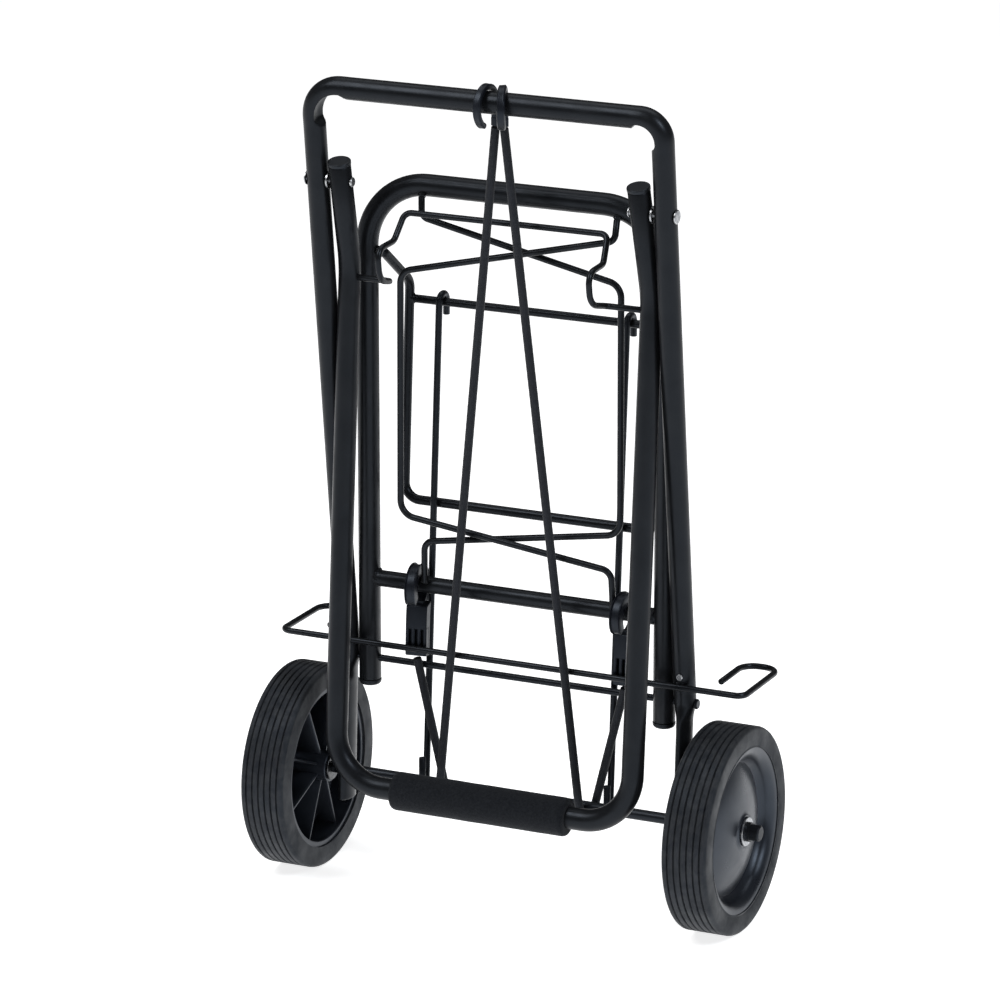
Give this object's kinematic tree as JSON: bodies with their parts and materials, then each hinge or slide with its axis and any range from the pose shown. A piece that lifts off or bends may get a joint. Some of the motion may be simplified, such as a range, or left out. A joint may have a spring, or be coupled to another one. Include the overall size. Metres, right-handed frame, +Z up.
{
  "type": "folding luggage trolley",
  "caption": "Folded tubular luggage trolley: arched frame, fold-down handle, fold-out platform with stand, ribbed wheels and bungee cords.",
  "frame": {"origin": "on the ground under the middle of the axle", "axes": "+X along the axle to the trolley's right as seen from its handle side, +Y to the side the platform unfolds to, +Z up"},
  "size_m": [0.3866, 0.15, 0.6065],
  "materials": {
    "black_enamel": "gloss black enamel",
    "black_wire": "gloss black enamel on wire",
    "zinc_rod": "black-finished steel rod",
    "bright_zinc": "bright zinc plate",
    "cap_plastic": "black moulded plastic",
    "foam": "closed-cell black foam",
    "hub_plastic": "black moulded plastic",
    "tyre_rubber": "black rubber",
    "cord": "black braided cover",
    "hook_plastic": "black moulded plastic"
  },
  "bodies": {
    "frame": {"main_frame": "black_enamel", "hook_wire": "black_wire", "platform_pivot_rod": "zinc_rod", "axle": "zinc_rod", "outer_washer_left": "bright_zinc", "outer_washer_right": "bright_zinc", "inner_washer_left": "bright_zinc", "inner_washer_right": "bright_zinc", "axle_cap_left": "cap_plastic", "axle_cap_right": "cap_plastic", "handle_rivet_left": "bright_zinc", "handle_rivet_right": "bright_zinc", "handle_washer_left": "bright_zinc", "handle_washer_right": "bright_zinc", "leg_rivet_left": "bright_zinc", "leg_rivet_right": "bright_zinc", "top_hook_left": "hook_plastic", "top_hook_right": "hook_plastic", "bungee_cord_left": "cord", "bungee_cord_right": "cord"},
    "handle": {"handle_tube": "black_enamel", "handle_end_cap_left": "cap_plastic", "handle_end_cap_right": "cap_plastic", "foam_grip": "foam"},
    "bail": {"lock_bail": "black_wire"},
    "platform": {"platform_tube": "black_enamel", "platform_end_cap_left": "cap_plastic", "platform_end_cap_right": "cap_plastic", "crossbar": "black_enamel", "grid_wire_left": "black_wire", "grid_wire_right": "black_wire", "lower_hook_left": "hook_plastic", "lower_hook_right": "hook_plastic"},
    "stand": {"stand_leg": "black_wire", "stand_cross_rod": "black_wire"},
    "links": {"link_rod_left": "zinc_rod", "link_rod_right": "zinc_rod"},
    "wheel_left": {"wheel_hub_left": "hub_plastic", "tyre_left": "tyre_rubber"},
    "wheel_right": {"wheel_hub_right": "hub_plastic", "tyre_right": "tyre_rubber"}
  },
  "joints": [
    {"name": "platform_fold", "type": "hinge", "parent": "frame", "child": "platform", "pos_m": [0, 0.005, 0.1625], "axis": [-1, 0, 0], "range_deg": [0, 84.5], "deforming": ["bungee_cord_left", "bungee_cord_right"]},
    {"name": "stand_swing", "type": "hinge", "parent": "platform", "child": "stand", "pos_m": [0, 0.005, 0.466], "axis": [-1, 0, 0], "range_deg": [-87.5, 0]},
    {"name": "link_swing", "type": "hinge", "parent": "stand", "child": "links", "pos_m": [0, 0.039, 0.4245], "axis": [-1, 0, 0], "range_deg": [0, 74]},
    {"name": "handle_fold", "type": "hinge", "parent": "frame", "child": "handle", "pos_m": [0, -0.0385, 0.525], "axis": [-1, 0, 0], "range_deg": [0, 172]},
    {"name": "bail_swing", "type": "hinge", "parent": "handle", "child": "bail", "pos_m": [0, -0.0245, 0.453], "axis": [1, 0, 0], "range_deg": [0, 150.5]},
    {"name": "wheel_left_spin", "type": "hinge", "parent": "frame", "child": "wheel_left", "pos_m": [0, 0, 0.075], "axis": [1, 0, 0], "continuous": true},
    {"name": "wheel_right_spin", "type": "hinge", "parent": "frame", "child": "wheel_right", "pos_m": [0, 0, 0.075], "axis": [1, 0, 0], "continuous": true}
  ],
  "couplings": [
    {"joint": "stand_swing", "follows": "platform_fold", "ratio": -1.0344},
    {"joint": "link_swing", "follows": "platform_fold", "ratio": 0.87475},
    {"joint": "bail_swing", "follows": "handle_fold", "ratio": 0.872}
  ]
}
